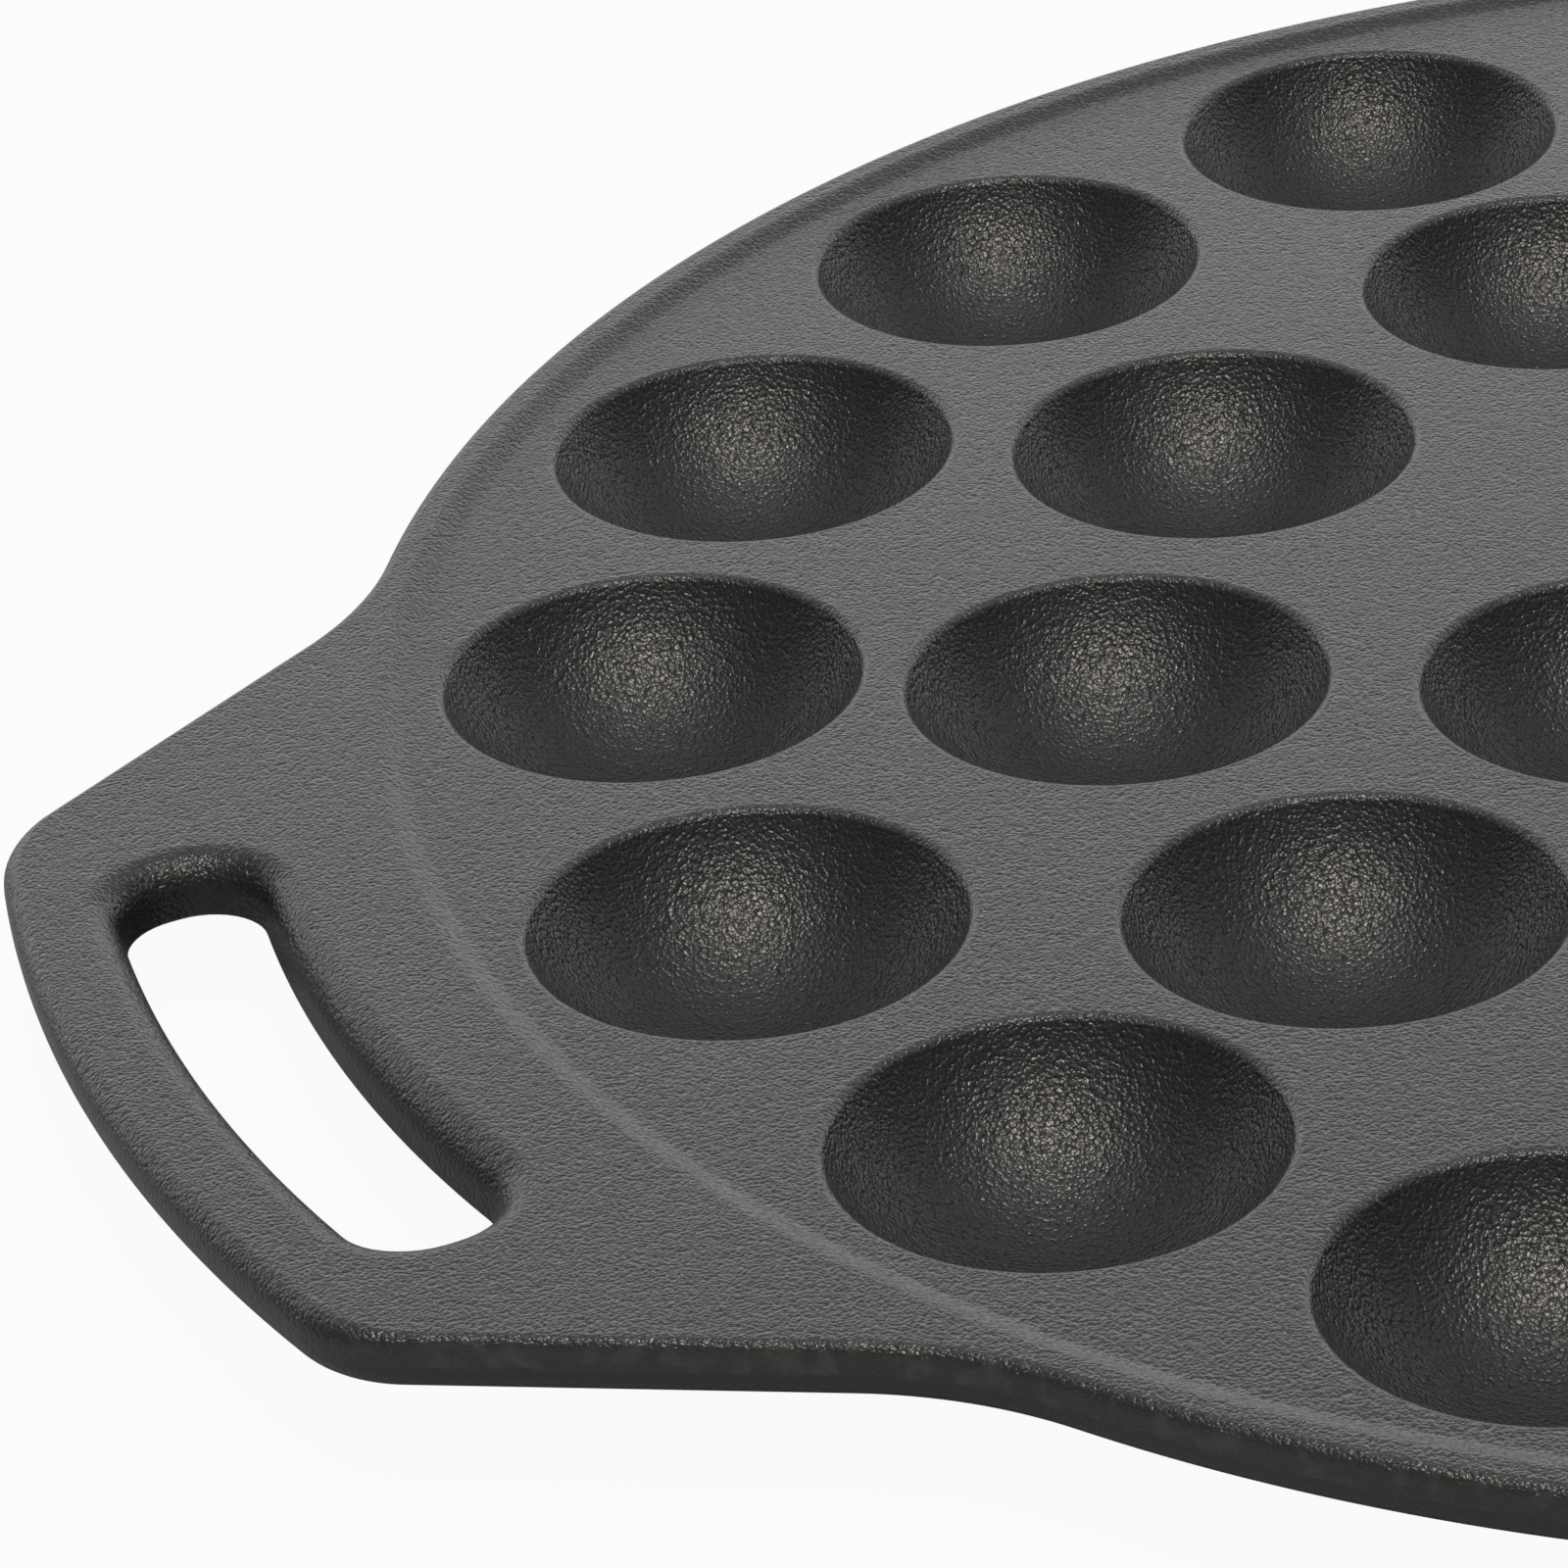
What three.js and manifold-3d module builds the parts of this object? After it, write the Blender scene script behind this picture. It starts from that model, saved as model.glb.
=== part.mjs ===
// Poffertjes pan: one iron casting, a round plate of thirty shallow cups with a raised rim
// and a slotted handle at each end. Millimetres, +Z up, handles along X. The origin lies
// under the pan's centre, on the surface that the cups' flat feet stand on.
//
// The casting is made whole and then divided, face to face, into its named regions: one
// for each cup with the plate around it, two rim arcs and two handles.

import * as THREE from 'three';
import { mergeVertices } from 'three/addons/utils/BufferGeometryUtils.js';
import Module from 'manifold-3d';

// Cups. The mouth radius is where the dish would meet the plate's top without its rounded edge.
const CUP_MOUTH_RADIUS = 20.25;
const CUP_DEPTH = 12.5;
const CUP_EDGE_ROUND = 1.2;
const CUP_WALL = 3.6;
const CUP_FOOT_RADIUS = 4.6;

// Iron between the cups: beside one another in a ring, and from each ring out to the next.
const CUP_WEB = 6.5;
const MIDDLE_WEB = 5.4;
const OUTER_WEB = 3.3;

// Plate and rim.
const PLATE_THICKNESS = 5;
const RIM_BORDER = 2.2;
const RIM_WIDTH = 6.8;
const RIM_SLOPE = 4.4;
const RIM_HEIGHT = 0.7;
const EDGE_ROUND = 1.4;

// Handles. The half width is taken at the sharp corner that the rounded corner replaces, and
// the cups are those of the outer ring that lie along one handle's root.
const HANDLE_CUPS = 3;
const HANDLE_REACH = 32.8;
const HANDLE_HALF_WIDTH = 46.8;
const HANDLE_FLARE = THREE.MathUtils.degToRad(30.5);
const HANDLE_CORNER_ROUND = 13;
const HANDLE_BLEND_ROUND = 40;
const SLOT_LENGTH = 69.8;
const SLOT_WIDTH = 13.2;
const SLOT_BAR = 10.1;
const SLOT_CORNER_ROUND = 5;
const SLOT_EDGE_ROUND = 3.6;

// Facets of round surfaces, and how far a cutting shape runs past what it cuts. A cut that
// ends level with a face stands just over it, so that no skin is left there.
const CUP_STEPS = 16;
const DISH_STEPS = 3;
const BOWL_STEPS = 2;
const PLATE_STEPS = 80;
const ROUND_STEPS = 2;
const SLOT_EDGE_STEPS = 3;
const SLOPE_STEPS = 3;
const ARC_STEPS = 6;
const CUT_PAST = 5;
const CUT_OVER = 0.02;

const FULL_TURN = 2 * Math.PI;

// Heights. Each cup is a part of a sphere, and its bowl outside is one a wall larger, cut
// flat at the foot.
const CUP_SPHERE = (CUP_MOUTH_RADIUS ** 2 + CUP_DEPTH ** 2) / (2 * CUP_DEPTH);
const BOWL_SPHERE = CUP_SPHERE + CUP_WALL;
const SPHERE_HEIGHT = Math.sqrt(BOWL_SPHERE ** 2 - CUP_FOOT_RADIUS ** 2);
const PLATE_TOP = SPHERE_HEIGHT - CUP_SPHERE + CUP_DEPTH;
const PLATE_BOTTOM = PLATE_TOP - PLATE_THICKNESS;
const RIM_TOP = PLATE_TOP + RIM_HEIGHT;

// Radii from the pan's centre. The inner ring is four cups in a square.
const CUP_MOUTH = 2 * CUP_MOUTH_RADIUS;
const INNER_RING = (CUP_MOUTH + CUP_WEB) / Math.SQRT2;
const MIDDLE_RING = INNER_RING + CUP_MOUTH + MIDDLE_WEB;
const OUTER_RING = MIDDLE_RING + CUP_MOUTH + OUTER_WEB;
const RIM_FOOT = OUTER_RING + CUP_MOUTH_RADIUS + RIM_BORDER;
const RIM_RADIUS = RIM_FOOT + RIM_WIDTH;
const HANDLE_END = RIM_RADIUS + HANDLE_REACH;

// Circles that divide the rings from each other. The outer ring ends at the rim's foot.
const INNER_BORDER = (INNER_RING + MIDDLE_RING) / 2;
const MIDDLE_BORDER = (MIDDLE_RING + OUTER_RING) / 2;

// As many cups as a ring has room for, about a web apart.
function cupsAround(radius) {
  return Math.round(Math.PI / Math.asin((CUP_MOUTH + CUP_WEB) / (2 * radius)));
}

// The rings, from the inside out. The middle ring is turned half a step, and the other two
// have a cup on the handles' axis.
const CUP_RINGS = [
  { name: 'inner_cup', turn: 0, radius: INNER_RING, border: INNER_BORDER },
  { name: 'middle_cup', turn: 0.5, radius: MIDDLE_RING, border: MIDDLE_BORDER },
  { name: 'outer_cup', turn: 0, radius: OUTER_RING, border: RIM_FOOT },
].map((ring) => ({ ...ring, count: cupsAround(ring.radius) }));

// Each handle takes the rim beside it, over the outer ring's cup on the axis and its neighbours.
const HANDLE_SPREAD = HANDLE_CUPS * FULL_TURN / cupsAround(OUTER_RING);
const RIM_SPREAD = Math.PI - HANDLE_SPREAD;

const wasm = await Module();
wasm.setup();

// A closed geometry as a solid that can be joined and cut.
function solid(geometry) {
  geometry.deleteAttribute('normal');
  geometry.deleteAttribute('uv');
  const merged = mergeVertices(geometry);
  const corners = merged.index.array;
  const triangles = [];
  for (let i = 0; i < corners.length; i += 3) {
    const [a, b, c] = corners.slice(i, i + 3);
    if (a !== b && b !== c && c !== a) {
      triangles.push(a, b, c);
    }
  }
  return new wasm.Manifold(new wasm.Mesh({
    numProp: 3,
    vertProperties: new Float32Array(merged.attributes.position.array),
    triVerts: new Uint32Array(triangles),
  }));
}

// A profile of [radius, height] points, from the axis below to the axis above, turned about Z.
function turned(profile, steps) {
  const points = profile.map(([radius, height]) => new THREE.Vector2(radius, height));
  return new THREE.LatheGeometry(points, steps).rotateX(Math.PI / 2);
}

// A flat outline raised through the whole height of the pan, to divide it with.
function divider(points) {
  const depth = RIM_TOP + 2 * CUT_PAST;
  const geometry = new THREE.ExtrudeGeometry(new THREE.Shape(points), { depth, bevelEnabled: false });
  return solid(geometry.translate(0, 0, -CUT_PAST));
}

function polar(radius, angle) {
  return new THREE.Vector2(radius * Math.cos(angle), radius * Math.sin(angle));
}

// Points along an arc, both ends included.
function arc(centre, radius, from, to) {
  const points = [];
  for (let i = 0; i <= ARC_STEPS; i++) {
    const angle = THREE.MathUtils.lerp(from, to, i / ARC_STEPS);
    points.push(polar(radius, angle).add(centre));
  }
  return points;
}

// Profile of a quarter round, from one angle to another about [radius, height].
function quarter(radius, height, from, to) {
  const points = [];
  for (let i = 0; i <= ROUND_STEPS; i++) {
    const angle = THREE.MathUtils.lerp(from, to, i / ROUND_STEPS);
    points.push([radius + EDGE_ROUND * Math.cos(angle), height + EDGE_ROUND * Math.sin(angle)]);
  }
  return points;
}

// The disc that the plate and rim are cut from, as high as the rim and round at its edge.
function disc() {
  const round = RIM_RADIUS - EDGE_ROUND;
  return solid(turned([
    [0, PLATE_BOTTOM],
    ...quarter(round, PLATE_BOTTOM + EDGE_ROUND, -Math.PI / 2, 0),
    ...quarter(round, RIM_TOP - EDGE_ROUND, 0, Math.PI / 2),
    [0, RIM_TOP],
  ], PLATE_STEPS));
}

// The shallow space inside the rim, above the plate, with a soft slope up to the rim's crest.
function rimHollow() {
  const slope = [];
  for (let i = 0; i <= SLOPE_STEPS; i++) {
    const t = i / SLOPE_STEPS;
    const rise = RIM_HEIGHT * THREE.MathUtils.smoothstep(t, 0, 1);
    slope.push([RIM_FOOT + RIM_SLOPE * t, PLATE_TOP + rise]);
  }
  return solid(turned([
    [0, PLATE_TOP],
    ...slope,
    [RIM_FOOT + RIM_SLOPE, RIM_TOP + CUT_PAST],
    [0, RIM_TOP + CUT_PAST],
  ], PLATE_STEPS));
}

// The handle at +X, without its slot: its end follows a circle about the pan's centre, and
// its sides flare inwards to the rim and run into it in a wide curve.
function handle() {
  const axis = new THREE.Vector2(0, 0);
  const sideNormal = Math.PI / 2 - HANDLE_FLARE;
  const endAngle = Math.asin(HANDLE_HALF_WIDTH / HANDLE_END);
  const sideDistance = HANDLE_END * Math.cos(sideNormal - endAngle);

  const cornerReach = HANDLE_END - HANDLE_CORNER_ROUND;
  const cornerAngle = sideNormal - Math.acos((sideDistance - HANDLE_CORNER_ROUND) / cornerReach);
  const corner = polar(cornerReach, cornerAngle);

  const blendReach = RIM_RADIUS + HANDLE_BLEND_ROUND;
  const blendAngle = sideNormal - Math.acos((sideDistance + HANDLE_BLEND_ROUND) / blendReach);
  const blend = polar(blendReach, blendAngle);

  const upper = [
    ...arc(axis, HANDLE_END, 0, cornerAngle).slice(1),
    ...arc(corner, HANDLE_CORNER_ROUND, cornerAngle, sideNormal).slice(1),
    ...arc(blend, HANDLE_BLEND_ROUND, sideNormal - Math.PI, blendAngle - Math.PI),
    ...arc(axis, OUTER_RING, blendAngle, 0).slice(0, -1),
  ];
  const mirrored = upper.map((point) => new THREE.Vector2(point.x, -point.y)).reverse();
  const root = new THREE.Vector2(OUTER_RING, 0);
  const tip = new THREE.Vector2(HANDLE_END, 0);
  const outline = new THREE.Shape([tip, ...upper, root, ...mirrored]);

  const geometry = new THREE.ExtrudeGeometry(outline, {
    depth: RIM_TOP - PLATE_BOTTOM - 2 * EDGE_ROUND,
    bevelThickness: EDGE_ROUND,
    bevelSize: EDGE_ROUND,
    bevelOffset: -EDGE_ROUND,
    bevelSegments: ROUND_STEPS,
  });
  return geometry.translate(0, 0, PLATE_BOTTOM + EDGE_ROUND);
}

// Outline of the slot at +X: two arcs about the pan's centre, joined by flat ends with
// round corners.
function slotOutline() {
  const axis = new THREE.Vector2(0, 0);
  const outside = HANDLE_END - SLOT_BAR;
  const inside = outside - SLOT_WIDTH;
  const centreHeight = SLOT_LENGTH / 2 - SLOT_CORNER_ROUND;
  const outerReach = outside - SLOT_CORNER_ROUND;
  const innerReach = inside + SLOT_CORNER_ROUND;
  const outerAngle = Math.asin(centreHeight / outerReach);
  const innerAngle = Math.asin(centreHeight / innerReach);
  const upper = [
    ...arc(axis, outside, 0, outerAngle).slice(1),
    ...arc(polar(outerReach, outerAngle), SLOT_CORNER_ROUND, outerAngle, Math.PI / 2).slice(1),
    ...arc(polar(innerReach, innerAngle), SLOT_CORNER_ROUND, Math.PI / 2, Math.PI + innerAngle),
    ...arc(axis, inside, innerAngle, 0).slice(1, -1),
  ];
  const mirrored = upper.map((point) => new THREE.Vector2(point.x, -point.y)).reverse();
  return [new THREE.Vector2(outside, 0), ...upper, new THREE.Vector2(inside, 0), ...mirrored];
}

// The hollow of the slot at +X. It runs out below the handle, and widens to the handle's
// top over a round edge for the fingers.
function slotHollow() {
  const foot = PLATE_BOTTOM - CUT_PAST;
  const geometry = new THREE.ExtrudeGeometry(new THREE.Shape(slotOutline()), {
    depth: RIM_TOP + CUT_OVER - SLOT_EDGE_ROUND - foot,
    bevelThickness: SLOT_EDGE_ROUND,
    bevelSize: -SLOT_EDGE_ROUND,
    bevelOffset: SLOT_EDGE_ROUND,
    bevelSegments: SLOT_EDGE_STEPS,
  });
  return geometry.translate(0, 0, foot);
}

// The outside of one cup below the plate, up to the middle of the plate's thickness.
function bowl() {
  const top = PLATE_TOP - PLATE_THICKNESS / 2;
  const from = Math.asin(CUP_FOOT_RADIUS / BOWL_SPHERE);
  const to = Math.acos((SPHERE_HEIGHT - top) / BOWL_SPHERE);
  const side = [];
  for (let i = 0; i <= BOWL_STEPS; i++) {
    const angle = THREE.MathUtils.lerp(from, to, i / BOWL_STEPS);
    side.push([BOWL_SPHERE * Math.sin(angle), SPHERE_HEIGHT - BOWL_SPHERE * Math.cos(angle)]);
  }
  return turned([[0, 0], ...side, [0, top]], CUP_STEPS);
}

// The hollow of one cup: a dish that turns over a small round edge into the plate's top.
function cupHollow() {
  const edgeHeight = PLATE_TOP - CUP_EDGE_ROUND;
  const edgeReach = CUP_SPHERE + CUP_EDGE_ROUND;
  const turn = Math.acos((SPHERE_HEIGHT - edgeHeight) / edgeReach);
  const edgeRadius = edgeReach * Math.sin(turn);
  const profile = [];
  for (let i = 0; i <= DISH_STEPS; i++) {
    const angle = turn * i / DISH_STEPS;
    profile.push([CUP_SPHERE * Math.sin(angle), SPHERE_HEIGHT - CUP_SPHERE * Math.cos(angle)]);
  }
  for (let i = 1; i <= ROUND_STEPS; i++) {
    const angle = turn * (1 - i / ROUND_STEPS);
    const radius = edgeRadius - CUP_EDGE_ROUND * Math.sin(angle);
    profile.push([radius, edgeHeight + CUP_EDGE_ROUND * Math.cos(angle)]);
  }
  return turned([...profile, [edgeRadius, PLATE_TOP + CUT_PAST], [0, PLATE_TOP + CUT_PAST]], CUP_STEPS);
}

// Angle of one cup's place in its ring.
function cupAngle(ring, place) {
  return (place + ring.turn) * FULL_TURN / ring.count;
}

// The whole casting as one solid.
function casting() {
  let pan = disc();
  for (const side of [0, Math.PI]) {
    pan = pan.add(solid(handle().rotateZ(side)));
    pan = pan.subtract(solid(slotHollow().rotateZ(side)));
  }
  pan = pan.subtract(rimHollow());
  for (const ring of CUP_RINGS) {
    for (let place = 0; place < ring.count; place++) {
      const angle = cupAngle(ring, place);
      const { x, y } = polar(ring.radius, angle);
      pan = pan.add(solid(bowl().rotateZ(angle).translate(x, y, 0)));
      pan = pan.subtract(solid(cupHollow().rotateZ(angle).translate(x, y, 0)));
    }
  }
  return pan;
}

// A wedge about the pan's axis, from half a spread on one side of an angle to the other.
function wedge(angle, spread) {
  const far = 2 * HANDLE_END;
  const sides = [-spread / 2, 0, spread / 2].map((turn) => polar(far, angle + turn));
  return divider([new THREE.Vector2(0, 0), ...sides]);
}

function circle(radius) {
  const points = [];
  for (let i = 0; i < PLATE_STEPS; i++) {
    points.push(polar(radius, FULL_TURN * i / PLATE_STEPS));
  }
  return divider(points);
}

// One region of the casting as a named mesh of bare, sand-cast iron.
function region(name, piece) {
  const { vertProperties, triVerts } = piece.getMesh();
  const geometry = new THREE.BufferGeometry();
  geometry.setAttribute('position', new THREE.BufferAttribute(vertProperties, 3));
  geometry.setIndex(new THREE.BufferAttribute(triVerts, 1));
  geometry.computeVertexNormals();
  const iron = new THREE.MeshStandardMaterial({ color: 0x5c5b5a, roughness: 0.7, metalness: 0.5 });
  const mesh = new THREE.Mesh(geometry, iron);
  mesh.name = name;
  return mesh;
}

const pan = new THREE.Group();
pan.name = 'poffertjes_pan';

let rest = casting();
for (const ring of CUP_RINGS) {
  const cups = new THREE.Group();
  const border = circle(ring.border);
  const band = rest.intersect(border);
  rest = rest.subtract(border);
  for (let place = 0; place < ring.count; place++) {
    const piece = band.intersect(wedge(cupAngle(ring, place), FULL_TURN / ring.count));
    cups.add(region(`${ring.name}_${String(place + 1).padStart(2, '0')}`, piece));
  }
  pan.add(cups);
}

pan.add(region('right_handle', rest.intersect(wedge(0, HANDLE_SPREAD))));
pan.add(region('rim_back', rest.intersect(wedge(Math.PI / 2, RIM_SPREAD))));
pan.add(region('left_handle', rest.intersect(wedge(Math.PI, HANDLE_SPREAD))));
pan.add(region('rim_front', rest.intersect(wedge(-Math.PI / 2, RIM_SPREAD))));

export default pan;
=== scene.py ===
import math

import bpy
import numpy as np
from mathutils import Matrix, Vector
from mathutils.geometry import delaunay_2d_cdt


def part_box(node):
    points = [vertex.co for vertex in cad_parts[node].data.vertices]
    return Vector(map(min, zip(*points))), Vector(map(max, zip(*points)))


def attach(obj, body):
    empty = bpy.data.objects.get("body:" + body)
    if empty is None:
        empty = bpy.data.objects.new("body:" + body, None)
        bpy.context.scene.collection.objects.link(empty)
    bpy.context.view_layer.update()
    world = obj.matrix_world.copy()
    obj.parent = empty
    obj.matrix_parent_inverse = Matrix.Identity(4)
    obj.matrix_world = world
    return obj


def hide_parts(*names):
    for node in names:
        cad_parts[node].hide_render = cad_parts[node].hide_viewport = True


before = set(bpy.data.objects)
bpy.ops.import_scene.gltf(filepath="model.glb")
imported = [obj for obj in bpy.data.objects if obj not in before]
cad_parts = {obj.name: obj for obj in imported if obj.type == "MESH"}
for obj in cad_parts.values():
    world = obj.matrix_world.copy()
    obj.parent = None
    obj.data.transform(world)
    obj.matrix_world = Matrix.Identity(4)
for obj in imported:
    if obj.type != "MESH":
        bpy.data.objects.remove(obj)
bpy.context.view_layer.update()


# Cups. Thirty shallow dishes of sand-cast iron, in rings of four, ten and sixteen. They are one
# pour with the plate between them, and stand out below it as thin bowls, each with a flat foot
# that the pan rests on.
cup_mouth_radius = 0.02025
cup_depth = 0.0125
cup_edge_round = 0.0011
# The cups' edges are rubbed pale in spots, partly as wear and partly as a painted highlight on the
# rounding.
cup_edge_wear_and_sheen = 0.3
cup_wall = 0.0036
cup_web = 0.0065
middle_web = 0.0054
outer_web = 0.0033
rim_border = 0.0022
bowl_fillet = 0.0005

plate_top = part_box("inner_cup_01")[1].z
plate_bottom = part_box("rim_front")[0].z
cup_mouth = 2 * cup_mouth_radius
cup_sphere = (cup_mouth_radius**2 + cup_depth**2) / (2 * cup_depth)
bowl_sphere = cup_sphere + cup_wall
sphere_height = plate_top - cup_depth + cup_sphere
foot_radius = math.sqrt(bowl_sphere**2 - sphere_height**2)
bowl_reach = 0.92 * cup_mouth_radius

inner_ring = (cup_mouth + cup_web) / math.sqrt(2)
middle_ring = inner_ring + cup_mouth + middle_web
outer_ring = middle_ring + cup_mouth + outer_web
inner_border = (inner_ring + middle_ring) / 2
middle_border = (middle_ring + outer_ring) / 2
rim_foot = outer_ring + cup_mouth_radius + rim_border

# Rings from the inside out: the ring's radius, the circles that border it, and how far it is
# turned, in steps from cup to cup.
cup_rings = [
    {
        "name": "inner_cup",
        "radius": inner_ring,
        "inside": 0,
        "outside": inner_border,
        "turn": 0,
    },
    {
        "name": "middle_cup",
        "radius": middle_ring,
        "inside": inner_border,
        "outside": middle_border,
        "turn": 0.5,
    },
    {
        "name": "outer_cup",
        "radius": outer_ring,
        "inside": middle_border,
        "outside": rim_foot,
        "turn": 0,
    },
]

# Points round a whole border circle, so that the pieces on both sides of it share them, their
# spacing along the sides between cups, and rows of points from the middle of a cup outwards.
border_steps = {inner_border: 240, middle_border: 400, rim_foot: 400}
side_spacing = 0.002
dish_rows = 20
edge_rows = 7
web_rows = 5
bowl_rows = 8
skirt_rows = 9


def polar(radius, angle):
    """Places in plan at a radius and an angle about the pan's axis."""
    return np.stack([radius * np.cos(angle), radius * np.sin(angle)], axis=-1)


def with_z(pairs, z):
    """Pairs of X and Y with a Z added, the same for all of them or one for each row or pair."""
    return np.concatenate([pairs, np.broadcast_to(z, pairs.shape[:-1] + (1,))], axis=-1)


def cup_angles(ring):
    """Angles of a ring's cups about the pan's axis."""
    count = sum(node.startswith(ring["name"]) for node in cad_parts)
    return (np.arange(count) + ring["turn"]) * math.tau / count


cup_centres = np.concatenate([polar(ring["radius"], cup_angles(ring)) for ring in cup_rings])


def underside(plan):
    """Height of the underside: the plate's lower face and the bowls, run together in fillets."""
    total = np.full(plan.shape[:-1], math.exp(-plate_bottom / bowl_fillet))
    for centre in cup_centres:
        rest = bowl_sphere**2 - ((plan - centre) ** 2).sum(-1)
        bowl = sphere_height - np.sqrt(np.maximum(rest, 0))
        total += np.where(rest > 0, np.exp(-bowl / bowl_fillet), 0)
    return np.maximum(-bowl_fillet * np.log(total), 0)


def underside_sheet(plan):
    """Points and normals of the underside over an array of places in plan."""
    reach = 2e-5
    along_x = (underside(plan + [reach, 0]) - underside(plan - [reach, 0])) / (2 * reach)
    along_y = (underside(plan + [0, reach]) - underside(plan - [0, reach])) / (2 * reach)
    normals = np.stack([along_x, along_y, np.full_like(along_x, -1)], axis=-1)
    normals /= np.linalg.norm(normals, axis=-1, keepdims=True)
    return with_z(plan, underside(plan)[..., None]), normals


class Skin:
    """The faces of one piece of the casting; a corner has a point, a normal, and wear and painted
    sheen, 0 to 1.
    """

    weld = 1e-7

    def __init__(self):
        self.points = np.empty((0, 3))
        self.normals = np.empty((0, 3))
        self.wear_and_sheen = np.empty(0)
        self.faces = []

    def add(self, points, normals, faces, wear_and_sheen):
        """Faces of one size over a list of corners, turned so that they look along their normals."""
        corners = points[faces]
        facing = np.cross(corners, np.roll(corners, -1, axis=1)).sum(1)
        backwards = (facing * normals[faces].sum(1)).sum(-1) < 0
        turned = np.where(backwards[:, None], faces[:, ::-1], faces)
        self.faces += (turned + len(self.points)).tolist()
        self.points = np.concatenate([self.points, points])
        self.normals = np.concatenate([self.normals, normals])
        self.wear_and_sheen = np.concatenate([self.wear_and_sheen, np.broadcast_to(wear_and_sheen, len(points))])

    def sheet(self, points, normals, wear_and_sheen=0.0):
        """Rows and columns of points, joined by four-sided faces."""
        rows, columns = points.shape[:2]
        index = np.arange(rows * columns).reshape(rows, columns)
        faces = np.stack([index[:-1, :-1], index[1:, :-1], index[1:, 1:], index[:-1, 1:]], axis=-1)
        normals = np.broadcast_to(normals, points.shape).reshape(-1, 3)
        wear_and_sheen = np.broadcast_to(wear_and_sheen, (columns, rows)).T.reshape(-1)
        self.add(points.reshape(-1, 3), normals, faces.reshape(-1, 4), wear_and_sheen)

    def wall(self, plan, normals, top, bottom):
        """A flush wall inside the casting, where a piece meets the next one."""
        upper = with_z(plan, np.reshape(top, (-1, 1)))
        lower = with_z(plan, np.reshape(bottom, (-1, 1)))
        level = with_z(normals, 0)
        self.sheet(np.stack([upper, lower]), np.stack([level, level]))

    def cast(self, node):
        """The piece itself, in place of its node in the frame."""
        keys = np.round(self.points / self.weld).astype(np.int64)
        _, first, spot = np.unique(keys, axis=0, return_index=True, return_inverse=True)
        spot = spot.reshape(-1).tolist()
        faces = []
        loops = []
        for face in self.faces:
            before = face[-1:] + face[:-1]
            kept = [corner for corner, last in zip(face, before) if spot[corner] != spot[last]]
            if len(kept) > 2:
                faces.append([spot[corner] for corner in kept])
                loops += kept
        mesh = bpy.data.meshes.new(f"{node}_skin")
        mesh.from_pydata(self.points[first].tolist(), [], faces)
        mesh.polygons.foreach_set("use_smooth", [True] * len(faces))
        mesh.normals_split_custom_set(self.normals[loops].tolist())
        mesh.attributes.new("wear_and_sheen", "FLOAT", "POINT").data.foreach_set("value", self.wear_and_sheen[first])
        mesh.materials.append(cast_iron)
        piece = bpy.data.objects.new(f"{node}_skin", mesh)
        bpy.context.scene.collection.objects.link(piece)
        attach(piece, "root")
        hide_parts(node)


# The iron: near black under a thin coat of baked oil, and pebbled all over by the sand of its
# mould. There are a few sand holes, painted near black inside as painted shade. Edges are rubbed to
# bare, dull metal in spots. That pale tone is partly wear and partly painted light: a painted
# highlight along the edges, and painted sheen that keeps the upper outer wall lighter than below.
iron_roughness = 0.30
iron_ior = 1.65
darker_iron = (0.015, 0.015, 0.015, 1)
lighter_iron = (0.022, 0.022, 0.022, 1)
# Pale bare metal for worn edges, also laid on as a painted highlight on the edges and as painted sheen
# on the upper outer wall.
bare_iron_and_sheen = (0.14, 0.128, 0.119, 1)
# Painted shade: the near black laid inside the sand holes.
hole_painted_shade = (0.004, 0.004, 0.004, 1)

grain_size = 0.00042
grain_depth = 0.00010
grain_drift = 1.3 * grain_size
lump_size = 0.0016
lump_depth = 0.00007
wave_size = 0.014
wave_depth = 0.00004
hole_spacing = 0.009
hole_share = 0.2
hole_radius = 0.0005
hole_floor = 0.3 * hole_radius
hole_depth = 0.0004
# Spots where the pale tone of wear, painted highlight and painted sheen shows.
rub_and_sheen_size = 0.0022
rub_and_sheen_limits = (0.48, 0.70)
rub_and_sheen_levels = (0.25, 0.9)


def shader_node(tree, kind, links=None, **settings):
    """Outputs of a new node with its inputs linked or set by name, and its other settings."""
    node = tree.nodes.new(kind)
    for name, value in settings.items():
        setattr(node, name, value)
    for name, value in (links or {}).items():
        if isinstance(value, bpy.types.NodeSocket):
            tree.links.new(value, node.inputs[name])
        else:
            node.inputs[name].default_value = value
    return node.outputs


def reckon(tree, operation, *values):
    """The outcome of a sum on single values."""
    return shader_node(tree, "ShaderNodeMath", dict(enumerate(values)), operation=operation)["Value"]


def reckon_vectors(tree, operation, *values):
    """The outcome of a sum on vectors, as a Vector or as a Value."""
    return shader_node(tree, "ShaderNodeVectorMath", dict(enumerate(values)), operation=operation)


def ramp(tree, value, limits, levels):
    """A smooth change from one level to the other while a value runs between its limits."""
    links = {"Value": value, "From Min": limits[0], "From Max": limits[1]}
    links |= {"To Min": levels[0], "To Max": levels[1]}
    return shader_node(tree, "ShaderNodeMapRange", links, interpolation_type="SMOOTHSTEP")["Result"]


cast_iron = bpy.data.materials.new("cast_iron")
cast_iron.use_nodes = True
iron = cast_iron.node_tree
iron.nodes.clear()
place = shader_node(iron, "ShaderNodeTexCoord")["Object"]


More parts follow.
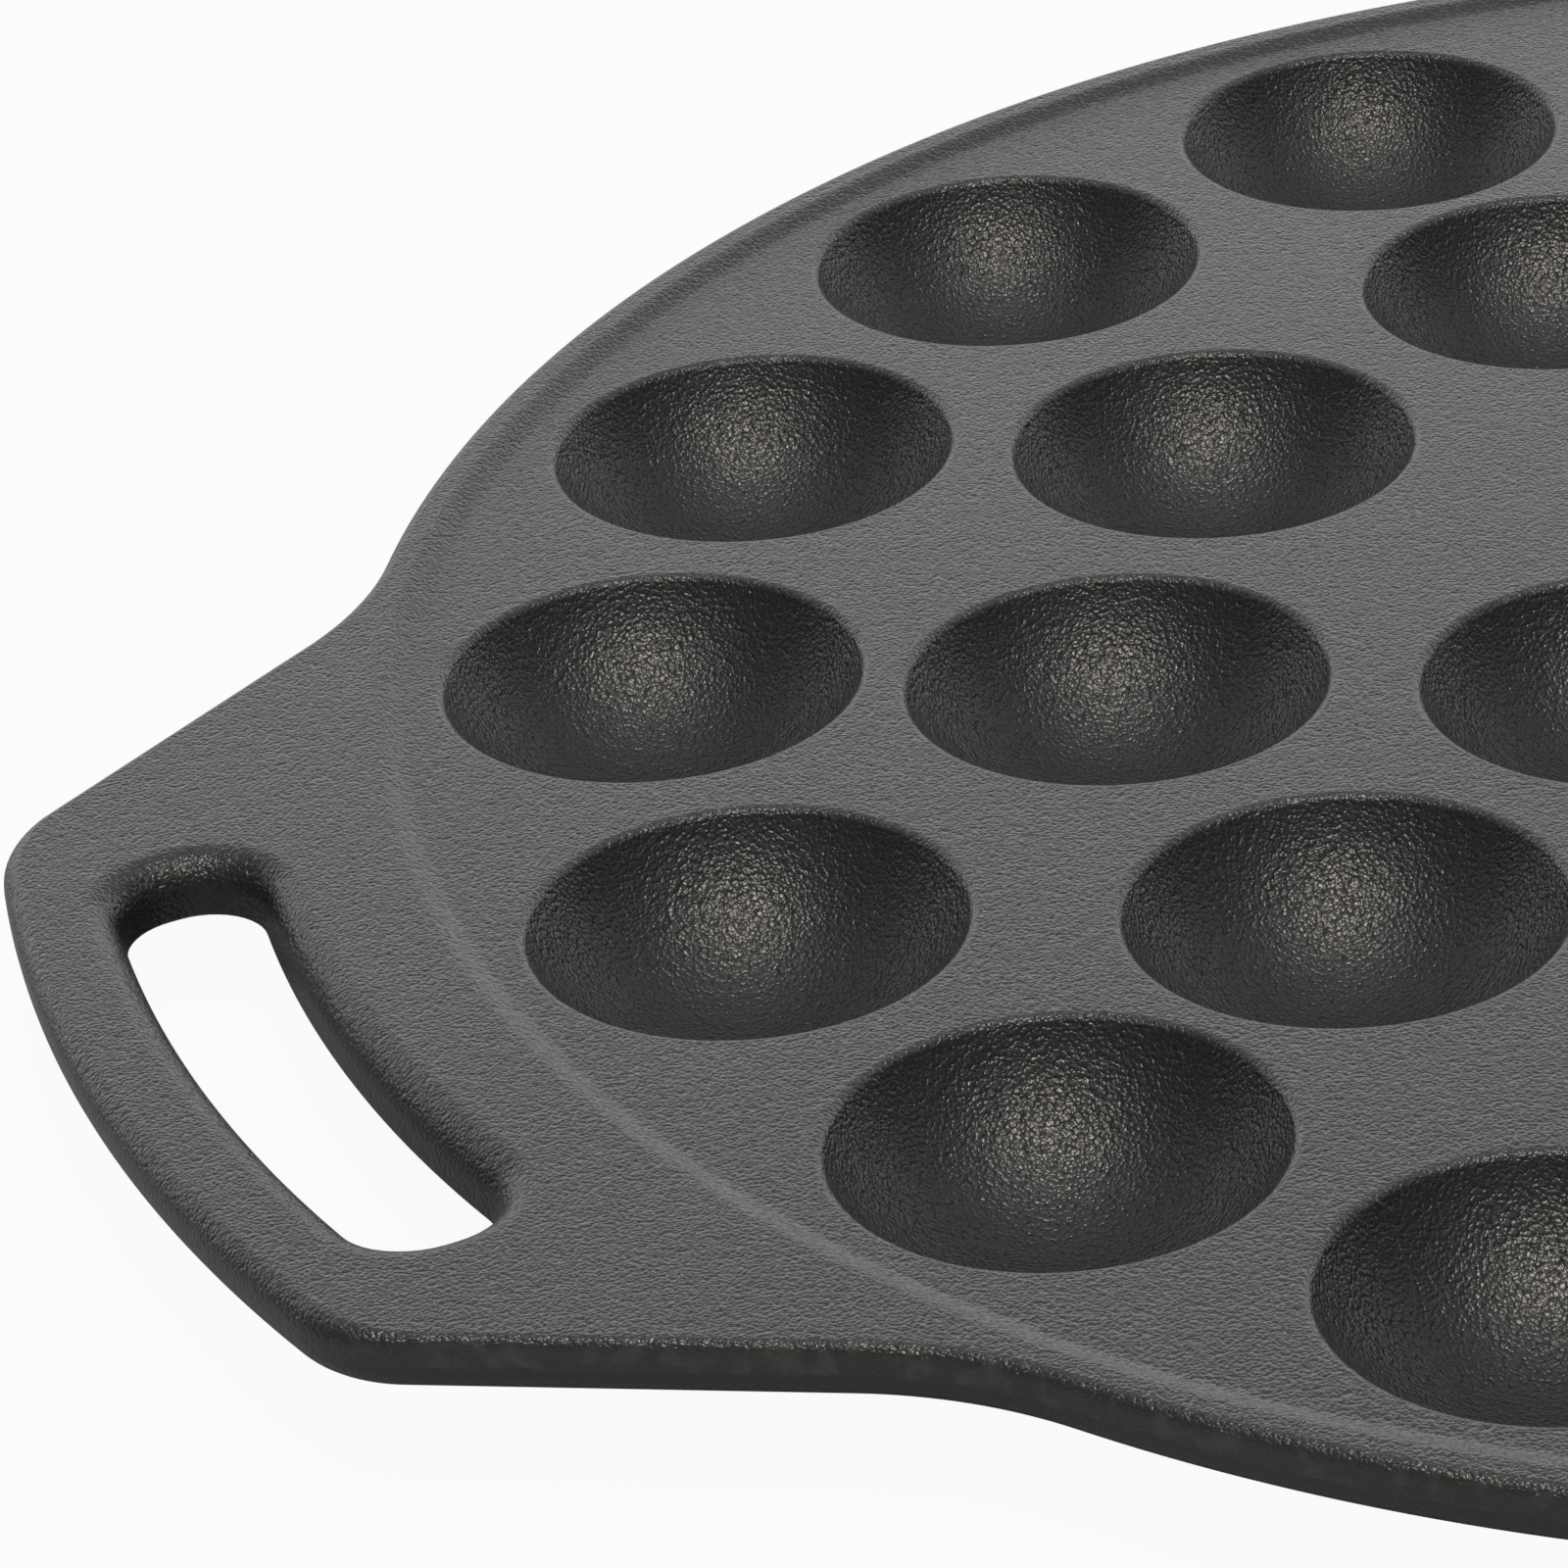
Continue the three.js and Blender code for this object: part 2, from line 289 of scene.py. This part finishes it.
def noise(size, detail):
    """Soft lumps of about one size."""
    links = {"Vector": place, "Scale": 1 / size, "Detail": detail, "Roughness": 0.5}
    return shader_node(iron, "ShaderNodeTexNoise", links)


def cells(spacing, vector):
    """A point in each cell of the iron, with the distance from it and the cell's own colour."""
    return shader_node(iron, "ShaderNodeTexVoronoi", {"Vector": vector, "Scale": 1 / spacing})


def bump(height, depth, normal=None, invert=False):
    """A normal tipped by a height, on top of another normal."""
    links = {"Height": height, "Strength": 1, "Distance": depth}
    if normal:
        links["Normal"] = normal
    return shader_node(iron, "ShaderNodeBump", links, invert=invert)["Normal"]


def paint(share, under, over):
    """One colour laid over another."""
    links = {"Fac": share, "Color1": under, "Color2": over}
    return shader_node(iron, "ShaderNodeMixRGB", links)["Color"]


waves = noise(wave_size, 2)["Fac"]
lumps = noise(lump_size, 2)["Fac"]
drift = noise(grain_drift, 1)["Color"]
drifted = reckon_vectors(iron, "MULTIPLY_ADD", drift, (grain_drift,) * 3, place)["Vector"]
grains = cells(grain_size, drifted)["Distance"]
creases = reckon(iron, "MULTIPLY", grains, grains)
wavy = bump(waves, wave_depth)
lumpy = bump(lumps, lump_depth, wavy)
pebbled = bump(creases, grain_depth, lumpy, invert=True)

# Sand holes, sunk by a bump and painted near black inside as painted shade.
hole_cells = cells(hole_spacing, place)
hole_choice = shader_node(iron, "ShaderNodeSeparateColor", {"Color": hole_cells["Color"]})["Red"]
hole_here = reckon(iron, "LESS_THAN", hole_choice, hole_share)
hole_limits = (hole_floor / hole_spacing, hole_radius / hole_spacing)
hole_shape = ramp(iron, hole_cells["Distance"], hole_limits, (1, 0))
holes_and_shade = reckon(iron, "MULTIPLY", hole_here, hole_shape)
pitted = bump(holes_and_shade, hole_depth, pebbled, invert=True)

# Each corner's share of pale tone, broken into spots: wear, with a painted highlight on the edges and
# painted sheen on the upper outer wall.
wear_and_sheen = shader_node(iron, "ShaderNodeAttribute", attribute_name="wear_and_sheen")["Fac"]
rubbed_and_sheen_spots = ramp(iron, noise(rub_and_sheen_size, 3)["Fac"], rub_and_sheen_limits, rub_and_sheen_levels)
bare_and_sheen = reckon(iron, "MULTIPLY", wear_and_sheen, rubbed_and_sheen_spots)
whole_tone = paint(waves, darker_iron, lighter_iron)
hole_shaded_tone = paint(holes_and_shade, whole_tone, hole_painted_shade)
iron_tone = paint(bare_and_sheen, hole_shaded_tone, bare_iron_and_sheen)
iron_shader = shader_node(
    iron,
    "ShaderNodeBsdfPrincipled",
    {"Base Color": iron_tone, "Roughness": iron_roughness, "IOR": iron_ior, "Normal": pitted},
)["BSDF"]
shader_node(iron, "ShaderNodeOutputMaterial", {"Surface": iron_shader})


def cup_border(ring, angle):
    """Sides of the plate round one cup, counterclockwise, as points and outward normals in plan."""
    half = math.pi / len(cup_angles(ring))
    side_steps = round((ring["outside"] - ring["inside"]) / side_spacing)
    sides = []
    for radius, outward, start, end in (
        (ring["outside"], 1, angle - half, angle + half),
        (ring["inside"], -1, angle + half, angle - half),
    ):
        if radius > 0:
            steps = round(border_steps[radius] * half / math.pi)
            turns = np.linspace(start, end, steps + 1)
            sides.append((polar(radius, turns), polar(outward, turns)))
        reach = np.linspace(ring["outside"], ring["inside"], side_steps + 1)[::outward]
        across = np.broadcast_to(polar(1, end + outward * math.pi / 2), (side_steps + 1, 2))
        sides.append((polar(reach, end), across))
    return sides


def dish_profile():
    """Rows of the dish from its middle to the plate: radius, height, tilt of the surface, and wear
    with a painted highlight.
    """
    edge_height = plate_top - cup_edge_round
    edge_reach = cup_sphere + cup_edge_round
    steepest = math.acos((sphere_height - edge_height) / edge_reach)
    edge_radius = edge_reach * math.sin(steepest)
    tilt = np.linspace(0, steepest, dish_rows + 1)
    dish = np.stack([
        cup_sphere * np.sin(tilt),
        sphere_height - cup_sphere * np.cos(tilt),
        tilt,
        0 * tilt,
    ])
    # The edge's rounding carries pale wear and a painted highlight, most at its middle.
    tilt = np.linspace(steepest, 0, edge_rows + 1)[1:]
    edge = np.stack([
        edge_radius - cup_edge_round * np.sin(tilt),
        edge_height + cup_edge_round * np.cos(tilt),
        tilt,
        cup_edge_wear_and_sheen * np.sin(math.pi * tilt / steepest),
    ])
    return np.concatenate([dish, edge], axis=1)


def spread(radius, reach, rows):
    """Radii of rows of points about a cup: circles first, then rows that spread to its border."""
    circles = np.broadcast_to(radius[:, None], (len(radius), len(reach)))
    outward = np.linspace(0, 1, rows + 1)[1:, None]
    return np.concatenate([circles, radius[-1] + outward * (reach - radius[-1])])


for ring in cup_rings:
    for number, angle in enumerate(cup_angles(ring), 1):
        centre = polar(ring["radius"], angle)
        sides = cup_border(ring, angle)
        loop = np.concatenate([points[:-1] for points, _ in sides] + [sides[0][0][:1]])
        reach = np.linalg.norm(loop - centre, axis=1)
        aim = (loop - centre) / reach[:, None]
        skin = Skin()

        radius, height, tilt, wear_and_sheen_share = dish_profile()
        flat = np.zeros(web_rows)
        height = np.concatenate([height, flat + plate_top])[:, None, None]
        tilt = np.concatenate([tilt, flat])[:, None, None]
        wear_and_sheen_share = np.concatenate([wear_and_sheen_share, flat])
        points = with_z(centre + spread(radius, reach, web_rows)[..., None] * aim, height)
        points[-1, :, :2] = loop
        skin.sheet(points, with_z(-np.sin(tilt) * aim, np.cos(tilt)), wear_and_sheen_share)

        bowl = np.concatenate([[0], np.linspace(foot_radius, bowl_reach, bowl_rows + 1)])
        plan = centre + spread(bowl, reach, skirt_rows)[..., None] * aim
        plan[-1] = loop
        skin.sheet(*underside_sheet(plan))

        for points, normals in sides:
            skin.wall(points, normals, plate_top, underside(points))
        skin.cast(f"{ring['name']}_{number:02d}")


# Rim. A low lip, cast with the plate, runs all round it, with a soft slope inside and a rubbed,
# rounded edge outside. The two halves of the mould met half way down that edge, so its wall leans
# in above and below. The pale rubbed tone is partly wear and partly a painted highlight on the
# rounding, and down to the parting it is painted sheen that makes the upper wall lighter than
# the lower.
rim_slope = 0.0044
slope_margin = 0.14
edge_round = 0.0014
edge_wear_and_sheen = 0.35
lower_round = 0.0024
upper_draft = math.radians(4)
lower_draft = math.radians(7)
parting_round = 0.0002
lip_rows = 14
round_rows = 9
under_rows = 7

rim_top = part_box("rim_front")[1].z
rim_radius = -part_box("rim_front")[0].y
parting = (rim_top + plate_bottom) / 2
lip_height = rim_top - plate_top
slope_share = 1 - 2 * slope_margin
outer_step = math.tau / len(cup_angles(cup_rings[-1]))
handle_spread = 3 * outer_step


def edge_profile(top_round, wear_and_sheen_share):
    """Rows of the outer wall from the top face to the lower face: distance out, height, normal and
    wear with painted sheen. The rounding and the wear are the same all along the wall, or given for
    each point."""
    rows = []
    for turn in np.linspace(math.pi / 2, upper_draft, round_rows + 1):
        rise = rim_top - top_round
        out = -(rise - parting) * math.tan(upper_draft) - top_round / math.cos(upper_draft)
        # Pale wear with a painted highlight on the rounding, and full on the upper wall as painted
        # sheen.
        rub_and_sheen = wear_and_sheen_share * (math.sin(2 * turn) if turn > math.pi / 4 else 1)
        rows.append((out + top_round * math.cos(turn), rise + top_round * math.sin(turn), turn, rub_and_sheen))
    # The painted sheen runs down to the parting and stops, so the lower wall stays darker.
    rows.append((-parting_round * math.tan(upper_draft), parting + parting_round, upper_draft, wear_and_sheen_share))
    rows.append((-parting_round * math.tan(lower_draft), parting - parting_round, -lower_draft, 0))
    for turn in np.linspace(-lower_draft, -math.pi / 2, round_rows + 1):
        rise = plate_bottom + lower_round
        out = -(parting - rise) * math.tan(lower_draft) - lower_round / math.cos(lower_draft)
        rows.append((out + lower_round * math.cos(turn), rise + lower_round * math.sin(turn), turn, 0))
    alike = np.zeros_like(top_round)
    return np.array([[value + alike for value in row] for row in rows]).swapaxes(0, 1)


def lead(profile, outline, outward):
    """Points and normals of a profile led along an outline in plan."""
    out, height, turn, _ = (rows.reshape(len(rows), -1, 1) for rows in profile)
    return with_z(outline + out * outward, height), with_z(np.cos(turn) * outward, np.sin(turn))


def lip_sheet(turns):
    """The slope from the plate up to the lip's crest, over a row of angles about the pan's axis."""
    part = np.linspace(0, 1, lip_rows + 1)
    climb = np.clip((part - slope_margin) / slope_share, 0, 1)
    height = plate_top + lip_height * climb**2 * (3 - 2 * climb)
    tilt = np.arctan(lip_height / rim_slope / slope_share * 6 * climb * (1 - climb))
    plan = polar((rim_foot + rim_slope * part)[:, None], turns)
    level = polar(-np.sin(tilt)[:, None], turns)
    return with_z(plan, height[:, None, None]), with_z(level, np.cos(tilt)[:, None, None])


def add_caps(skin, sections, turns):
    """The flush ends of a piece of the rim, each a section through it."""
    for section, angle, side in ((sections[0], turns[0], -1), (sections[1], turns[-1], 1)):
        normals = np.broadcast_to(np.append(polar(side, angle + math.pi / 2), 0), section.shape)
        skin.add(section, normals, np.arange(len(section))[None], 0.0)


rim_profile = edge_profile(edge_round, edge_wear_and_sheen)
rim_inset = rim_radius + rim_profile[0, -1]

for node, middle in (("rim_back", math.pi / 2), ("rim_front", -math.pi / 2)):
    half = (math.pi - handle_spread) / 2
    steps = round(border_steps[rim_foot] * half / math.pi)
    turns = np.linspace(middle - half, middle + half, steps + 1)
    around = polar(1, turns)
    skin = Skin()

    lip, lip_normals = lip_sheet(turns)
    wall, wall_normals = lead(rim_profile, rim_radius * around, around)
    skin.sheet(lip, lip_normals)
    skin.sheet(np.stack([lip[-1], wall[0]]), np.array([0, 0, 1]))
    skin.sheet(wall, wall_normals, rim_profile[3])

    inward = np.linspace(rim_inset, rim_foot, under_rows + 1)
    below, below_normals = underside_sheet(polar(inward[:, None], turns))
    skin.sheet(below, below_normals)
    skin.wall(rim_foot * around, -around, plate_top, below[-1, :, 2])
    ends = [np.concatenate([lip[:, end], wall[:, end], below[1:, end]]) for end in (0, -1)]
    add_caps(skin, ends, turns)
    skin.cast(node)


# Handles. Flat tabs, cast with the rim and level with its crest, and rounder at the grip than
# along their sides. Each has a slot for the fingers, a little off the middle and askew, whose
# upper edge is rounded wide, because it is gripped there with a cloth.
handle_half_width = 0.0468
handle_flare = math.radians(30.5)
handle_corner_round = 0.013
handle_blend_round = 0.040
slot_length = 0.0698
slot_width = 0.0135
slot_bar = 0.0101
slot_corner_round = 0.0063
slot_edge_round = 0.0035
slot_lower_round = 0.0005
slot_narrowing = 0.0003
slot_turn = math.radians(1.2)
slot_shift = np.array([0, 0.0009])

# The edge's rounding and its pale wear, painted highlight and painted sheen change over a short way
# beside the rim, and again before the grip.
side_start = 0.006
side_round = 0.0011
side_wear_and_sheen = 0.4
grip_start = 0.004
grip_round = 0.0021
grip_wear_and_sheen = 0.15

# Rows of points down the slot's wall and over the band where the bowls run out below the handle,
# and the spacing of points over its faces and their distance from the faces' edges.
slot_rows = 13
slot_lower_rows = 6
band_width = 0.003
band_rows = 5
face_spacing = 0.003
face_clearance = 0.6 * face_spacing

handle_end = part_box("right_handle")[1].x
pan_axis = np.zeros(2)
mirror = np.array([1, -1])


def arc(centre, radius, start, end, steps, outward=1):
    """Points and normals along an arc in plan, with the iron inside, or outside if outward is -1."""
    turns = np.linspace(start, end, steps + 1)
    return centre + polar(radius, turns), polar(outward, turns)


def straight(start, end, normal, steps):
    """Points and normals inside a straight side, without its ends."""
    part = np.linspace(0, 1, steps + 1)[1:-1, None]
    return start + part * (end - start), np.broadcast_to(normal, (steps - 1, 2))


def after_first(run, last=None):
    """A run of points and normals without its first point, and up to a last one if that is given."""
    return [values[1:last] for values in run]


def handle_outline():
    """Outline of the handle at +X from one end of its rim to the other, as points and normals."""
    side_normal = math.pi / 2 - handle_flare
    end_angle = math.asin(handle_half_width / handle_end)
    side_distance = handle_end * math.cos(side_normal - end_angle)
    corner_reach = handle_end - handle_corner_round
    corner_angle = side_normal - math.acos((side_distance - handle_corner_round) / corner_reach)
    corner = polar(corner_reach, corner_angle)
    blend_reach = rim_radius + handle_blend_round
    blend_angle = side_normal - math.acos((side_distance + handle_blend_round) / blend_reach)
    blend = polar(blend_reach, blend_angle)
    blend_start = side_normal - math.pi
    blend_end = blend_angle - math.pi
    end = arc(pan_axis, handle_end, 0, corner_angle, steps=26)
    bend = arc(corner, handle_corner_round, corner_angle, side_normal, steps=12)
    root = arc(blend, handle_blend_round, blend_start, blend_end, steps=16, outward=-1)
    side = straight(bend[0][-1], root[0][0], polar(1, side_normal), steps=12)
    stub = arc(pan_axis, rim_radius, blend_angle, handle_spread / 2, steps=2)
    runs = [after_first(end), after_first(bend), side, root, after_first(stub)]
    upper, normals = (np.concatenate(both) for both in zip(*runs))
    points = np.concatenate([upper[::-1] * mirror, [[handle_end, 0]], upper])
    return points, np.concatenate([normals[::-1] * mirror, [[1, 0]], normals])


def slot_outline():
    """Outline of the slot at +X as a closed loop, with normals that point out of the iron."""
    outside = handle_end - slot_bar
    inside = outside - slot_width
    centre_height = slot_length / 2 - slot_corner_round
    outer_reach = outside - slot_corner_round
    inner_reach = inside + slot_corner_round
    outer_angle = math.asin(centre_height / outer_reach)
    inner_angle = math.asin(centre_height / inner_reach)
    outer_centre = polar(outer_reach, outer_angle)
    inner_centre = polar(inner_reach, inner_angle)
    top = math.pi / 2
    back_turn = math.pi + inner_angle
    bar = arc(pan_axis, outside, 0, outer_angle, steps=20, outward=-1)
    outer_bend = arc(outer_centre, slot_corner_round, outer_angle, top, steps=10, outward=-1)
    inner_bend = arc(inner_centre, slot_corner_round, top, back_turn, steps=12, outward=-1)
    end = straight(outer_bend[0][-1], inner_bend[0][0], [0, -1], steps=3)
    back = arc(pan_axis, inside, inner_angle, 0, steps=20)
    runs = [after_first(bar), after_first(outer_bend), end, inner_bend, after_first(back, last=-1)]
    upper, normals = (np.concatenate(both) for both in zip(*runs))
    first = np.array([[outside, 0]])
    last = np.array([[inside, 0]])
    points = np.concatenate([first, upper, last, upper[::-1] * mirror, first])
    normals = np.concatenate([[[-1, 0]], normals, [[1, 0]], normals[::-1] * mirror, [[-1, 0]]])
    middle = (first + last) / 2
    turned = np.stack([polar(1, slot_turn), polar(1, slot_turn + math.pi / 2)])
    return middle + slot_shift + (points - middle) @ turned, normals @ turned


def slot_profile():
    """Rows of the slot's wall from the handle's top face to the lower face, as for the outer edge."""
    rows = []
    for turn in np.linspace(math.pi / 2, 0, slot_rows + 1):
        out = slot_edge_round * (math.cos(turn) - 1)
        rise = rim_top - slot_edge_round + slot_edge_round * math.sin(turn)
        rows.append((out, rise, turn, 0))
    foot = plate_bottom + slot_lower_round
    for turn in np.linspace(0, -math.pi / 2, slot_lower_rows + 1):
        out = slot_narrowing + slot_lower_round * (math.cos(turn) - 1)
        rows.append((out, foot + slot_lower_round * math.sin(turn), turn, 0))
    return np.array(rows).T


def face_between(border, hole):
    """Triangles that fill an area inside a border and outside a hole, with points spread over it."""
    edges = np.concatenate([border, hole])
    loops = [list(range(len(border))), list(range(len(border), len(edges)))]
    lowest, highest = border.min(0), border.max(0)
    columns, rows = np.ceil((highest - lowest) / face_spacing).astype(int)
    grid = np.stack(np.meshgrid(np.arange(columns), np.arange(rows)), axis=-1)
    grid = grid.reshape(-1, 2).astype(float)
    grid[:, 0] += 0.5 * (grid[:, 1] % 2)
    inner = lowest + grid * face_spacing
    clear = np.linalg.norm(inner[:, None] - edges[None], axis=-1).min(1) > face_clearance
    plan = np.concatenate([edges, inner[clear]])
    spots = [Vector(point) for point in plan]
    inside_only = 1
    tolerance = 1e-9
    filled = delaunay_2d_cdt(spots, [], loops, inside_only, tolerance)
    _, _, faces, origins, _, owners = filled
    kept = [face for face, owner in zip(faces, owners) if 0 in owner and 1 not in owner]
    return plan, np.array([[origins[corner][0] for corner in face] for face in kept])


outline, outward = handle_outline()
reach = np.linalg.norm(outline, axis=1)
stations = [rim_radius, rim_radius + side_start, handle_end - grip_start, handle_end]
rounding = np.interp(reach, stations, [edge_round, side_round, side_round, grip_round])
wear_and_sheen_share = np.interp(reach, stations, [edge_wear_and_sheen, side_wear_and_sheen, side_wear_and_sheen, grip_wear_and_sheen])
handle_profile = edge_profile(rounding, wear_and_sheen_share)
slot_wall_profile = slot_profile()

for node, side in (("right_handle", 1), ("left_handle", -1)):
    steps = round(border_steps[rim_foot] * handle_spread / math.tau)
    turns = np.linspace(-handle_spread / 2, handle_spread / 2, steps + 1)
    around = polar(1, turns)
    turned = np.array([side, side, 1])
    skin = Skin()

    lip, lip_normals = lip_sheet(turns)
    wall, wall_normals = lead(handle_profile, outline, outward)
    slot, slot_normals = lead(slot_wall_profile, *slot_outline())
    skin.sheet(lip * turned, lip_normals * turned)
    skin.sheet(wall * turned, wall_normals * turned, handle_profile[3].T)
    skin.sheet(slot * turned, slot_normals * turned, slot_wall_profile[3])

    border = np.concatenate([lip[-1, ::-1, :2], wall[0, :, :2]])
    plan, faces = face_between(border, slot[0, :-1, :2])
    points = with_z(plan, rim_top)
    skin.add(points * turned, np.broadcast_to([0, 0, 1.0], points.shape), faces, 0.0)

    band = np.linspace(rim_foot, rim_foot + band_width, band_rows + 1)
    below, below_normals = underside_sheet(polar(band[:, None], turns))
    skin.sheet(below * turned, below_normals * turned)
    border = np.concatenate([below[-1, ::-1, :2], wall[-1, :, :2]])
    plan, faces = face_between(border, slot[-1, :-1, :2])
    points, normals = underside_sheet(plan)
    skin.add(points * turned, normals * turned, faces, 0.0)

    skin.wall(rim_foot * around * side, -around * side, plate_top, below[0, :, 2])
    ends = [np.concatenate([lip[:, end], wall[:, end], below[::-1, end]]) for end in (0, -1)]
    add_caps(skin, [end * turned for end in ends], turns + (0 if side > 0 else math.pi))
    skin.cast(node)


# Floor. A wide matt sheet that the pan stands on. The camera sees it as white with a faint shadow,
# and the iron as a mid grey with a trace of that white in its sheen.
floor_reach = 4.0
floor_grey = (0.5, 0.5, 0.5, 1)
floor_white = (1, 1, 1, 1)
white_to_camera = 0.95
white_in_sheen = 0.02

floor_corners = ((-1, -1), (1, -1), (1, 1), (-1, 1))
floor_mesh = bpy.data.meshes.new("floor")
floor_mesh.from_pydata(
    [(floor_reach * x, floor_reach * y, 0) for x, y in floor_corners],
    [],
    [(0, 1, 2, 3)],
)
floor = bpy.data.objects.new("floor", floor_mesh)
bpy.context.scene.collection.objects.link(floor)

pale_floor = bpy.data.materials.new("pale_floor")
pale_floor.use_nodes = True
pale = pale_floor.node_tree
pale.nodes.clear()
path = shader_node(pale, "ShaderNodeLightPath")
mirrored = reckon(pale, "MULTIPLY", path["Is Glossy Ray"], white_in_sheen)
whiteness = reckon(pale, "MULTIPLY_ADD", path["Is Camera Ray"], white_to_camera, mirrored)
matt = shader_node(pale, "ShaderNodeBsdfDiffuse", {"Color": floor_grey})["BSDF"]
white = shader_node(pale, "ShaderNodeEmission", {"Color": floor_white, "Strength": 1.0})["Emission"]
floor_shader = shader_node(pale, "ShaderNodeMixShader", {0: whiteness, 1: matt, 2: white})["Shader"]
shader_node(pale, "ShaderNodeOutputMaterial", {"Surface": floor_shader})
floor_mesh.materials.append(pale_floor)


# Studio. A white sweep stands behind the pan and a lit ceiling hangs over its front, with a warm
# softbox in it. The rest of the room is dim, and a little lighter on the camera's side. The camera
# itself sees plain white all round.
sweep_heading = math.radians(25)
sweep_level = 1.41
sweep_top_level = 0.30
front_level = 0.18
dim_level = 0.10
ceiling_aim = Vector((0.0, -0.22, 0.975))
ceiling_level = 0.45
softbox_place = Vector((-0.19, -0.41, 1.38))
softbox_width = 0.3
softbox_power = 7
softbox_colour = (1.0, 0.93, 0.85)

# Where the lit places start and end: cosines of the angle from the middle of the sweep or of the
# ceiling, and for the sweep's top the sine of the angle above the floor.
sweep_limits = (0.14, 0.76)
sweep_top_limits = (0.34, 0.60)
front_limits = (-0.8, -0.2)
ceiling_limits = (0.66, 0.97)

world = bpy.data.worlds.new("studio")
bpy.context.scene.world = world
world.use_nodes = True
studio = world.node_tree
studio.nodes.clear()
seen = shader_node(studio, "ShaderNodeLightPath")["Is Camera Ray"]
direction = shader_node(studio, "ShaderNodeTexCoord")["Generated"]
rise = shader_node(studio, "ShaderNodeSeparateXYZ", {"Vector": direction})["Z"]
level = reckon_vectors(studio, "MULTIPLY", direction, (1, 1, 0))["Vector"]
heading = reckon_vectors(studio, "NORMALIZE", level)["Vector"]
sweep_aim = (math.sin(sweep_heading), math.cos(sweep_heading), 0)
behind = reckon_vectors(studio, "DOT_PRODUCT", heading, sweep_aim)["Value"]
across = ramp(studio, behind, sweep_limits, (0, 1))
upward = ramp(studio, rise, sweep_top_limits, (sweep_level, sweep_top_level))
facing = ramp(studio, behind, front_limits, (front_level, dim_level))
sweep_glow = reckon(studio, "MULTIPLY_ADD", across, upward, facing)
overhead = reckon_vectors(studio, "DOT_PRODUCT", direction, ceiling_aim)["Value"]
ceiling_glow = ramp(studio, overhead, ceiling_limits, (0, ceiling_level))
room_glow = reckon(studio, "ADD", sweep_glow, ceiling_glow)
unseen = reckon(studio, "SUBTRACT", 1.0, seen)
strength = reckon(studio, "MULTIPLY_ADD", room_glow, unseen, seen)
air_links = {"Color": (1, 1, 1, 1), "Strength": strength}
air = shader_node(studio, "ShaderNodeBackground", air_links)["Background"]
shader_node(studio, "ShaderNodeOutputWorld", {"Surface": air})

softbox_light = bpy.data.lights.new("softbox", "AREA")
softbox_light.shape = "DISK"
softbox_light.size = softbox_width
softbox_light.energy = softbox_power
softbox_light.color = softbox_colour
softbox = bpy.data.objects.new("softbox", softbox_light)
softbox.location = softbox_place
softbox.rotation_euler = softbox.location.to_track_quat("Z", "Y").to_euler()
softbox.visible_camera = False
bpy.context.scene.collection.objects.link(softbox)


# Camera. A long lens that looks across the near handle from about thirty degrees above the floor,
# tipped a little to one side.
camera_place = Vector((-0.31380, -0.53630, 0.34906))
camera_heading = math.radians(20.023)
camera_tilt = math.radians(29.325)
camera_roll = math.radians(-4.847)
camera_lens = bpy.data.cameras.new("camera")
camera_lens.sensor_width = 36
camera_lens.lens = 168.96
camera_lens.clip_start = 0.01
camera = bpy.data.objects.new("camera", camera_lens)
level_aim = Matrix.Rotation(-camera_heading, 4, "Z")
camera_aim = level_aim @ Matrix.Rotation(math.pi / 2 - camera_tilt, 4, "X")
camera_tip = Matrix.Rotation(camera_roll, 4, "Z")
camera.matrix_world = Matrix.Translation(camera_place) @ camera_aim @ camera_tip
bpy.context.scene.collection.objects.link(camera)
bpy.context.scene.camera = camera
bpy.context.scene.view_settings.view_transform = "Standard"
